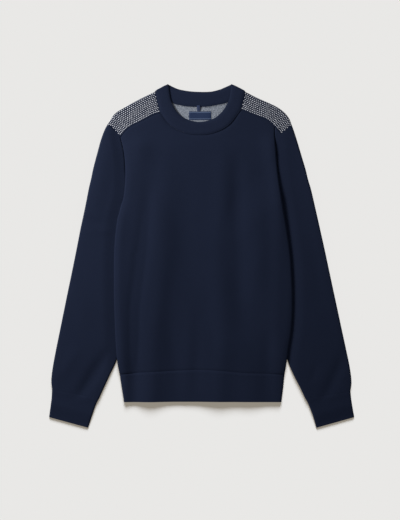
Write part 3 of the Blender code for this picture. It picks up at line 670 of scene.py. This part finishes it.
# The share of it that the right sleeve's head has even at the armhole
RIGHT_HEAD_PUFF = 0.35
SLEEVE_TILT = {"left": math.radians(-13.0), "right": math.radians(13.0)}
SLEEVE_FOLDS = (
    ((-262, 92, 0, 10), (-232, 76, -0.9, 8), (-200, 62, 0, 9)),
    ((-258, 62, 0, 10), (-226, 54, 0.7, 8), (-196, 46, 0, 9)),
    ((-202, -204, -0.6, 12), (-226, -242, -3.2, 14), (-242, -268, -3.6, 14), (-258, -292, -3, 13),
     (-276, -314, -1, 12)),
    ((-262, -190, 0, 16), (-286, -226, 1.2, 16), (-310, -262, 0.8, 14)),
    ((-209, 262, 1.4, 20), (-214, 225, 3.2, 24), (-222, 180, 3.4, 26), (-232, 130, 2.6, 26),
     (-244, 80, 1.4, 26), (-256, 20, 0, 24)),
    ((-286, -60, 0, 14), (-262, -120, 0.7, 16), (-268, -190, 0, 16)),
    ((234, 230, 2, 22), (250, 140, 3.4, 27), (273, 40, 2.8, 27), (294, -70, 1.2, 22),
     (304, -150, 0.8, 18), (316, -205, 1, 16), (322, -250, 0.8, 14)),
    ((322, -190, -0.6, 12), (306, -236, -1.8, 13), (280, -290, -2, 13), (264, -320, -1, 12)),
    ((240, 60, 0, 14), (252, -40, -0.7, 16), (262, -120, 0, 16)),
    ((236, -284, 0, 8), (246, -258, -0.8, 9), (254, -232, 0, 9)),
)


def sleeve_top(x, y):
    """Sleeves lie thin under the body and swell a little outside it."""
    outside = ease((-np.minimum(*from_edges(x, y)) - SLEEVE_PUFF_START) / SLEEVE_PUFF_RAMP)
    outside += RIGHT_HEAD_PUFF * (x > 0) * ease((y - 112) / 30) * (1 - outside)
    return 2 * WALL + GAP + outside * above_zero(SLEEVE_PUFF + folds_height(SLEEVE_FOLDS, x, y))


sleeve_middle = half_of(sleeve_top)


def slit_above(x, y):
    level = sleeve_middle(x, y) + GAP / 2
    return level + sewn_apart(y) * (sleeve_top(x, y) - SEWN_GAP - level)


def slit_below(x, y):
    return sleeve_middle(x, y) - GAP / 2


for side in SIDES:
    head = armhole[side]
    knots = SLEEVE_ROWS[side]
    inner_knots = [r[2:] for r in knots] + [tuple(head[0])]
    inner_edge = np.vstack([
        curve(inner_knots[:UNDERARM_ROW + 1], ROWS_BETWEEN * UNDERARM_ROW),
        curve(inner_knots[UNDERARM_ROW:], ROWS_BETWEEN * 3)[1:], head[1:],
    ])
    outer_edge = curve([r[:2] for r in knots] + list(SLEEVE_HEAD[side]), len(inner_edge) - 1)
    sleeve_upper = [PANEL_CORNER[side], SHOULDER_END[side]]
    if side == "right":
        sleeve_upper.insert(0, tuple(head[-1]))
    wrist = [inner_edge[0], outer_edge[0]]
    sleeve_pattern = Pattern(wrist, sleeve_upper, inner_edge, outer_edge, top_from=0.8)
    corner = sleeve_pattern.top_at[1] if side == "right" else 0.4
    inside = np.sort(np.append(np.linspace(0.12, 0.88, 28), corner))
    columns = stations(inside, True, True)
    rows = stations(sleeve_pattern.rows[1:-1])
    first_open = ROWS_BETWEEN * UNDERARM_ROW + 1
    halves = []
    for upward, face, slit in ((True, sleeve_top, slit_above), (False, floor_level, slit_below)):
        closed = layer(sleeve_pattern, columns, rows, face, sleeve_middle, upward=upward)
        opened = layer(sleeve_pattern, columns, rows, face, slit, upward=upward)
        armhole_edge = np.s_[first_open:, :len(ROUND_ANGLES)]
        for c, o in zip(closed, opened):
            c[armhole_edge] = o[armhole_edge]
        halves.append(closed)
    outer, inner = around(*halves)
    sleeve = cloth(f"sleeve_knit_{side}", outer, inner, navy_knit, SLEEVE_TILT[side], joined_rows=first_open)
    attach(sleeve, "root")
    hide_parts(f"sleeve_{side}")

# Cuffs: short tubes of fine rib in the same navy, knitted double-thick and linked on to the sleeves.
# They begin level with the sleeves and thin to their lower edges, which are folds of the rib.
RIB_WALL, RIB_ROUND = 2.6, 4.5
NAVY_RIB = (0.0096, 0.0138, 0.0302)
CUFF_SIDES = {"left": (
    ((-328.7, -293), (-329.8, -312.8), (-331.5, -326), (-335.5, -354.6)),
    ((-224.8, -312.8), (-231.7, -326), (-241.1, -352.4), (-249.5, -378)),
), "right": (
    ((326.7, -297.4), (328.5, -312.8), (330.4, -326), (335.5, -354.6)),
    ((227, -312.8), (234.3, -326), (244.6, -352.4), (252.1, -378)),
)}
CUFF_TOP = 2 * RIB_WALL + GAP + 1.6
CUFF_WALL = 1.7
# By how much and over how far a cuff thins, and how far the sleeve's height runs on into it
CUFF_THINS_BY, CUFF_THINS_OVER, CUFF_BLEND = 3.4, 34, 11
CUFF_LINK_WIDTH, CUFF_LINK_DIP = 1.6, 0.22
navy_rib = knit_material("navy_fine_rib", NAVY_RIB, 1.3, 1.5, rib_mm=2.6, rib_depth=0.9, relief=0.3)


def rib_tube(name, pattern, steps, face, middle, wall, turn=0.0):
    """A flattened tube of rib on the surface, rounded at its two side folds."""
    columns = stations(np.linspace(0, 1, steps)[2:-2], True, True)
    rows = stations(np.append(pattern.rows[1:-1], [0.975]))
    upper = layer(pattern, columns, rows, face, middle, wall, RIB_ROUND)
    under = layer(pattern, columns, rows, floor_level, middle, wall, RIB_ROUND, upward=False)
    outer, inner = around(upper, under)
    return cloth(name, outer, inner, navy_rib, turn, joined_rows=len(rows))


for side in SIDES:
    outer_edge, inner_edge = (curve(edge, 24) for edge in CUFF_SIDES[side])
    seam_line, end_line = (np.array([inner_edge[k], outer_edge[k]]) for k in (0, -1))
    cuff_pattern = Pattern(end_line, seam_line, inner_edge[::-1], outer_edge[::-1])

    def cuff_face(x, y):
        """Level with the sleeve at the link, then a flat band that thins to its folded end."""
        far, to_end = (nearest_on(line, x, y)[0] for line in (seam_line, end_line))
        level = CUFF_TOP - CUFF_THINS_BY * (1 - ease(to_end / CUFF_THINS_OVER))
        blended = level + ridge(far, CUFF_BLEND, sleeve_top(x, y) - level)
        return blended - ridge(far, CUFF_LINK_WIDTH, CUFF_LINK_DIP)

    cuff = rib_tube(
        f"cuff_rib_{side}", cuff_pattern, 26, cuff_face, half_of(cuff_face), CUFF_WALL, SLEEVE_TILT[side],
    )
    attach(cuff, "root")
    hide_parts(f"cuff_{side}")

# Front: the same plain knit as the back, over it, with soft lengthwise folds from the hem to the chest.
# Its sides turn under at the folds that it shares with the back, over the sleeves.
columns = stations(np.linspace(0, 1, 136)[2:-2], True, True)
finer_ends = [0.003, 0.006, 0.010, 0.996]
rows = stations(np.sort(np.concatenate([whole_body.rows[2:-1], finer_ends])))
outer, inner = layer(whole_body, columns, rows, front_face, front_part)
front_knit = cloth("front_knit", outer, inner, navy_knit)
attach(front_knit, "root")
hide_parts("front")

# Hem: one tube of the same fine rib right round the body, linked on along the hem seam.
# The body's folds run on into it and raise its upper side here and there.
HEM_BOTTOM = ((-170.7, -321.2), (0.0, -320.4), (175.3, -321.2))
HEM_SIDES = (
    (HEM_BOTTOM[0], (-176.2, -286.4), HEM_SEAM[0]),
    (HEM_BOTTOM[-1], (179.5, -286.4), HEM_SEAM[-1]),
)
# The rib's low crest just below the link: its place, width and height
HEM_CREST_AT, HEM_CREST_WIDTH, HEM_CREST = 4.5, 2.5, 0.25
hem_pattern = Pattern(curve(HEM_BOTTOM, 40), hem_seam, *(curve(edge, 24) for edge in HEM_SIDES))


def hem_top(x, y):
    return 2 * RIB_WALL + GAP + front_puff(x, y)


def hem_face(x, y):
    below = np.interp(x, hem_seam[:, 0], hem_seam[:, 1]) - y
    return (hem_top(x, y) - ridge(below, SEAM_DIP_WIDTH, SEAM_DIP)
            + ridge(below - HEM_CREST_AT, HEM_CREST_WIDTH, HEM_CREST))


hem_rib = rib_tube("hem_rib", hem_pattern, 130, hem_face, half_of(hem_top), RIB_WALL)
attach(hem_rib, "root")
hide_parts("hem_band")

# Shoulder panels: strips of bird's-eye jacquard from the collar over the shoulder on to the sleeve head.
# The navy ground is plain knit, and the pale stitches stand up from it in staggered rows.
# Each strip turns under at the shoulder line, where it meets the back yoke.
SHOULDER_PUFF = 0.8
PALE_YARN = (0.585, 0.605, 0.665)
# From one pale stitch to the next along a row, and to the next row
STITCH_ALONG, STITCH_ACROSS = np.array((4.60, 0.0)), np.array((2.20, 4.05))
# The two legs of a pale stitch: their size, how far they stand apart, how much they differ
LEG_SIZE = (0.54, 1.10, 0.42)
LEG_APART = 0.54
LEG_SLANT = math.radians(24.0)
SIZE_DIFFERS, SLANT_DIFFERS = 0.10, 0.08
STITCH_RISE = 0.12
# Plain ground left at the strip's ends, and along its lower and upper edges
END_MARGIN, LOWER_MARGIN, UPPER_MARGIN = 1.2, 1.4, 0.8
jacquard_ground = knit_material("jacquard_navy_ground", NAVY, 1.9, 1.5)
pale_stitch, tree, shader = plain_material("jacquard_pale_yarn", 0.85, 0.25, 0.2)
tint = add_group(tree, yarn, {"Yarn": (*PALE_YARN, 1.0), "Depth": 0.0})
wire(tree, shader, {"Base Color": tint["Colour"]})
raise_relief(tree, shader, tint["Fuzz"], 0.3, 0.0001)

# One leg of a stitch: a small oval of six sides
leg_points = np.array([(0, -1, 0), *(
    (math.cos(a) * math.cos(b), math.sin(a), math.cos(a) * math.sin(b))
    for a in np.radians((-45, 0, 45)) for b in np.linspace(0, math.tau, 6, endpoint=False)
), (0, 1, 0)], float)
leg_faces = []
for k in range(6):
    n = (k + 1) % 6
    leg_faces += [(0, 1 + n, 1 + k), (19, 13 + k, 13 + n)]
    for ring in (1, 7):
        leg_faces += [(ring + k, ring + n, ring + 6 + n), (ring + k, ring + 6 + n, ring + 6 + k)]
leg_faces = np.array(leg_faces)
panel_face, panel_parting = level_at(2 * WALL + GAP + SHOULDER_PUFF), level_at(WALL + GAP)
handwork = np.random.default_rng(11)
for side in SIDES:
    lower_line, upper_line = panel_lower[side], shoulder[side]
    if side == "right":
        lower_line = np.vstack([lower_line, np.linspace(lower_line[-1], PANEL_CORNER[side], 5)[1:]])
    neck_edge = curve((NECK_JUNCTION[side], NECK_POINT[side]), 12)
    end_edge = curve((lower_line[-1], upper_line[-1]), 12)
    panel_pattern = Pattern(lower_line, upper_line, neck_edge, end_edge)
    columns = stations(np.linspace(0, 1, 60)[1:-1])
    rows = stations(np.linspace(0, 0.84, 22)[1:], False, True)
    outer, inner = layer(panel_pattern, columns, rows, panel_face, panel_parting)
    s_at, t_at = run_along(outer.transpose(1, 0, 2)).mean(axis=1), run_along(outer)
    chart = np.stack(np.broadcast_arrays(s_at, t_at), axis=-1) * MM
    panel = cloth(f"shoulder_panel_knit_{side}", outer, inner, jacquard_ground, chart=chart)
    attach(panel, "root")
    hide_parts(f"shoulder_panel_{side}")

    def on_panel(s, t):
        """The point of the strip's upper side at a place along and across it."""
        k = min(max(int(np.searchsorted(s_at, s)) - 1, 0), len(s_at) - 2)
        w = (s - s_at[k]) / (s_at[k + 1] - s_at[k])
        run = (1 - w) * t_at[:, k] + w * t_at[:, k + 1]
        line = (1 - w) * outer[:, k] + w * outer[:, k + 1]
        return along(line, run, t), run[-1]

    points, faces = [], []
    for i, j in itertools.product(range(-40, 60), range(-40, 40)):
        s, t = i * STITCH_ALONG + j * STITCH_ACROSS
        if not END_MARGIN < s < s_at[-1] - END_MARGIN or t < LOWER_MARGIN:
            continue
        centre, width = on_panel(s, t)
        if t > width - UPPER_MARGIN:
            continue
        ahead = unit(on_panel(s + 0.5, t)[0] - centre)
        beyond = min(t + 0.5, width)
        over = on_panel(s, beyond)[0] - on_panel(s, beyond - 0.5)[0]
        over = unit(over - ahead * (over @ ahead))
        up = np.cross(ahead, over)
        up *= 1 if up[2] > 0 or abs(up[2]) < 1e-6 else -1
        size = 1 + SIZE_DIFFERS * handwork.standard_normal(3)
        for hand in (-1, 1):
            turn = hand * LEG_SLANT + SLANT_DIFFERS * handwork.standard_normal()
            c, n = math.cos(turn), math.sin(turn)
            leg_local = leg_points * LEG_SIZE * size
            flat_x = c * leg_local[:, 0] - n * leg_local[:, 1] + hand * LEG_APART
            flat_y = n * leg_local[:, 0] + c * leg_local[:, 1]
            faces.append(leg_faces + len(leg_points) * len(points))
            raised = leg_local[:, 2] + STITCH_RISE
            points.append(centre + np.stack([flat_x, flat_y, raised], axis=1) @ [ahead, over, up])
    points, faces = np.concatenate(points), np.concatenate(faces)
    stitched = mesh_piece(f"birdseye_stitches_{side}", points, faces, points[:, :2] * MM, pale_stitch)
    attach(stitched, "root")

# Neck rib: a double-knit ring, linked to the front, the panels and the yoke.
# Its front half lies over the back half, and it folds over at the two tips beside the neck.
COLLAR_THICK = 3.8
COLLAR_TIP_BULGE = 0.9
COLLAR_BACK_Z = COLLAR_THICK / 2
COLLAR_SIDE_Z = 1.5 * COLLAR_THICK + GAP
COLLAR_FRONT_Z = 2 * WALL + 0.4
COLLAR_WIDTH = 27.0
# Where beside the neck's middle the front half begins to rise on to the tips, and over how far
COLLAR_MIDDLE_X, TIP_RISE_FROM, TIP_RISE_OVER = -4.5, 20.0, 42.0
TIP_TURNS = np.linspace(90, -90, 11)
COLLAR_TIP = {"left": (-74.1, 376.1), "right": (65.6, 376.1)}
COLLAR_FRONT_EDGE = (
    COLLAR_TIP["left"], (-70.8, 353.8), (-66.4, 336.2), (-54.3, 315.3), (-34.5, 299.9), (-4.8, 293.3),
    (24.9, 299.9), (44.7, 315.3), (57.9, 336.2), (63.4, 353.8), COLLAR_TIP["right"],
)
COLLAR_BACK_EDGE = (
    COLLAR_TIP["left"], (-60.5, 369.2), (-48.4, 364.8), (-25.7, 360.8), (0.7, 359.5),
    (22, 360.4), (39.8, 364.8), (50.6, 369.2), COLLAR_TIP["right"],
)
front_seam = np.vstack([
    curve((NECK_POINT["left"], NECK_JUNCTION["left"]), 12)[:-1], front_neck,
    curve((NECK_JUNCTION["right"], NECK_POINT["right"]), 12)[1:],
])
front_edge = curve(COLLAR_FRONT_EDGE, len(front_seam) - 1)
back_edge = curve(COLLAR_BACK_EDGE, len(back_neck) - 1)
half = COLLAR_THICK / 2
turn = (COLLAR_SIDE_Z - COLLAR_BACK_Z) / 2
turn_middle = (COLLAR_SIDE_Z + COLLAR_BACK_Z) / 2
# Where each section has its points, from the seam to the free edge, and half the thickness there
across = np.concatenate([[0, 0.03, 0.07, 0.12], np.linspace(0.2, 0.86, 8), [0.91, 0.95, 0.98]])
seam_round = 0.50 + 0.50 * ease(across / 0.15)
edge_round = np.sqrt(1 - np.clip((across - 0.62) / 0.40, 0, 1) ** 2)
thick = half * np.minimum(seam_round, edge_round)
sections = []


def section_points(seam, edge):
    out = unit(edge - seam)
    start = seam + out * GAP / 2
    return [start + (edge - start) * t for t in across], edge + out * COLLAR_TIP_BULGE, out


def flat_section(seam, edge, height, upward):
    middles, tip, _ = section_points(seam, edge)
    at_seam = min(height, COLLAR_FRONT_Z + 0.5)
    levels = at_seam + (height - at_seam) * ease(across / 0.4)
    over, under = (
        [(*p, z + way * h) for p, z, h in zip(middles, levels, thick)] for way in (upward, -upward)
    )
    return over + [(*tip, height)] + under[::-1]


def turned_section(side, angle):
    seam, edge = np.array(NECK_POINT[side]), np.array(COLLAR_TIP[side])
    middles, tip, out = section_points(seam, edge)
    away = np.array([-out[1], out[0]]) if side == "left" else np.array([out[1], -out[0]])
    reach, up = math.cos(math.radians(angle)), math.sin(math.radians(angle))

    def place(p, bulge, rise):
        return (*(p + away * bulge * reach), turn_middle + rise * up)

    over = [place(p, h, turn + h) for p, h in zip(middles, thick)]
    under = [place(p, turn - h, turn - h) for p, h in zip(middles, thick)][::-1]
    return over + [place(tip, half / 2, turn)] + under


for seam, edge in list(zip(front_seam, front_edge))[1:-1]:
    near_tip = ease((abs(edge[0] - COLLAR_MIDDLE_X) - TIP_RISE_FROM) / TIP_RISE_OVER)
    height = COLLAR_FRONT_Z + (COLLAR_SIDE_Z - COLLAR_FRONT_Z) * near_tip
    sections.append(flat_section(seam, edge, height, 1))
for angle in TIP_TURNS:
    sections.append(turned_section("right", angle))
for seam, edge in list(zip(back_neck, back_edge))[-2:0:-1]:
    sections.append(flat_section(seam, edge, COLLAR_BACK_Z, -1))
for angle in TIP_TURNS[::-1]:
    sections.append(turned_section("left", angle))
sections = np.array(sections)
count, size = sections.shape[:2]
run = run_along(sections.mean(axis=1))
across_run = np.concatenate([across * COLLAR_WIDTH, [COLLAR_WIDTH + 1], across[::-1] * COLLAR_WIDTH])
chart = np.stack(np.broadcast_arrays(run[:, None], across_run), axis=-1)
ring = np.arange(count * size).reshape(count, size)
after, beyond = np.roll(ring, -1, axis=0), np.roll(ring, -1, axis=1)
faces = np.stack([ring, beyond, np.roll(after, -1, axis=1), after], axis=-1).reshape(-1, 4)
neck_rib = mesh_piece("neck_rib_knit", sections.reshape(-1, 3), faces, chart.reshape(-1, 2) * MM, navy_rib)
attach(neck_rib, "root")
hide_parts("neck_rib")

# Neck label: a small woven navy label, sewn flat to the inside of the yoke by its two short ends.
# It is plain, with a fine pale line woven along its two long edges.
LABEL_LEFT, LABEL_RIGHT = -27.9, 20.5
LABEL_LOW, LABEL_HIGH = 298.8, 317.5
LABEL_THICK = 0.8
# The pale line's distance from the edge and half its width, in metres
LABEL_LINE = (0.0024, 0.0004)
label_weave, tree, shader = plain_material("woven_label", 0.6, 0.15)
calc = functools.partial(maths, tree)
apart = add_node(tree, "SeparateXYZ", {0: chart_place(tree)}).outputs
warp = calc("SINE", calc("MULTIPLY", apart["X"], math.tau * 1000 / 0.5))
weft = calc("SINE", calc("MULTIPLY", apart["Y"], math.tau * 1000 / 0.4))
weave = calc("MULTIPLY_ADD", calc("MULTIPLY", warp, weft), 0.5, 0.5)
from_middle = calc("ABSOLUTE", calc("SUBTRACT", apart["Y"], (LABEL_LOW + LABEL_HIGH) / 2 * MM))
line = calc("COMPARE", calc("SUBTRACT", (LABEL_HIGH - LABEL_LOW) / 2 * MM, from_middle), *LABEL_LINE)
wire(tree, shader, {"Base Color": mixed(tree, line, (0.010, 0.021, 0.060, 1.0), (0.10, 0.14, 0.23, 1.0))})
raise_relief(tree, shader, weave, 0.4, 0.0002)
low = WALL + GAP
grid_x, grid_y = np.meshgrid(np.linspace(LABEL_LEFT, LABEL_RIGHT, 25), np.linspace(LABEL_LOW, LABEL_HIGH, 11))
from_edge = np.minimum.reduce([
    grid_x - LABEL_LEFT, LABEL_RIGHT - grid_x, grid_y - LABEL_LOW, LABEL_HIGH - grid_y,
])
surface = low + LABEL_THICK - ridge(from_edge, 0.8, 0.35) + 0.15 * np.sin(grid_x / 7.0)
outer = np.stack([grid_x, grid_y, surface], axis=-1)
inner = np.stack([grid_x, grid_y, np.full(grid_x.shape, low)], axis=-1)
neck_label = cloth("neck_label_woven", outer, inner, label_weave)
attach(neck_label, "root")
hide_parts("neck_label")

# Hanging loop: a short folded tape of blue-grey weave.
# It is caught in the back neck seam and sewn down above the label.
LOOP_MIDDLE, LOOP_WIDTH, LOOP_THICK = -6.8, 7.0, 1.0
LOOP_BLUE = (0.026, 0.037, 0.082)
# Its weave has painted shade in the hollows between its loops, a little stronger than on the knit
loop_tape = knit_material("loop_tape_weave", LOOP_BLUE, 0.9, 0.7, depth=0.6, relief=0.5, sheen=0.4)
path = curve(((318.6, low), (321.5, 3.0), (324.6, 3.6), (327.6, 4.0), (330.4, COLLAR_THICK + GAP)), 16)
xs = LOOP_MIDDLE + LOOP_WIDTH / 2 * np.array([-1.0, -0.92, -0.5, 0.0, 0.5, 0.92, 1.0])
crown = np.array([0.55, 0.9, 1.0, 0.8, 1.0, 0.9, 0.55]) * LOOP_THICK
inner = np.array([[(x, y, z) for x in xs] for y, z in path])
outer = inner + np.stack([np.zeros(len(xs)), np.zeros(len(xs)), crown], axis=-1)
hanging_loop = cloth("hanging_loop_tape", outer, inner, loop_tape)
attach(hanging_loop, "root")
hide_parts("hanging_loop")

# Studio: a plain pale floor, evenly lit, whose only shadows are soft ones below the sweater.
# The sweater has its own key light, low on the upper left to show the folds, and a weak fill.
# The camera looks straight down from three metres.
CAMERA_HEIGHT, VIEW_HEIGHT = 3.0, 1.144
VIEW_MIDDLE = (-0.0037, -0.0092)
bpy.ops.mesh.primitive_plane_add(size=8.0, location=(0, 0, -0.0003))
floor = bpy.context.active_object
floor.name = "floor"
floor_paint, tree, shader = plain_material("pale_floor", 0.9, 0.0)
wire(tree, shader, {
    "Base Color": (0.120, 0.119, 0.118, 1.0),
    "Emission Color": (1.0, 0.89, 0.72, 1.0), "Emission Strength": 0.27,
})
floor.data.materials.append(floor_paint)
floor_only = bpy.data.collections.new("floor_only")
floor_only.objects.link(floor)
all_but_floor = bpy.data.collections.new("all_but_floor")
all_but_floor.objects.link(floor)
all_but_floor.collection_objects[0].light_linking.link_state = "EXCLUDE"


def aimed_light(name, kind, place, power, colour, lights_up):
    """A light at a place, aimed at the middle of the sweater."""
    data = bpy.data.lights.new(name, kind)
    data.energy, data.color = power, colour
    light = new_object(name, data)
    light.location = place
    light.rotation_euler = Vector(place).to_track_quat("Z", "Y").to_euler()
    light.light_linking.receiver_collection = lights_up
    return data


key = aimed_light("window_light", "AREA", (-1.16, 0.76, 0.79), 38.0, (1.0, 0.99, 0.97), all_but_floor)
key.shape, key.size = "DISK", 0.6
top = aimed_light("floor_light", "SUN", (0.0, 1.0, 0.62), 28.4, (0.888, 0.936, 1.0), floor_only)
top.angle = math.radians(29.0)
world = bpy.data.worlds.new("studio")
world.use_nodes = True
wire(world.node_tree, world.node_tree.nodes["Background"], {"Color": (1.0, 1.0, 1.0, 1.0), "Strength": 0.3})
bpy.context.scene.world = world
bpy.context.scene.view_settings.view_transform = "Standard"

camera_data = bpy.data.cameras.new("camera")
camera_data.sensor_fit = "VERTICAL"
camera_data.sensor_height = 36.0
camera_data.lens = camera_data.sensor_height * CAMERA_HEIGHT / VIEW_HEIGHT
camera = new_object("camera", camera_data)
camera.location = (*VIEW_MIDDLE, CAMERA_HEIGHT)
bpy.context.scene.camera = camera
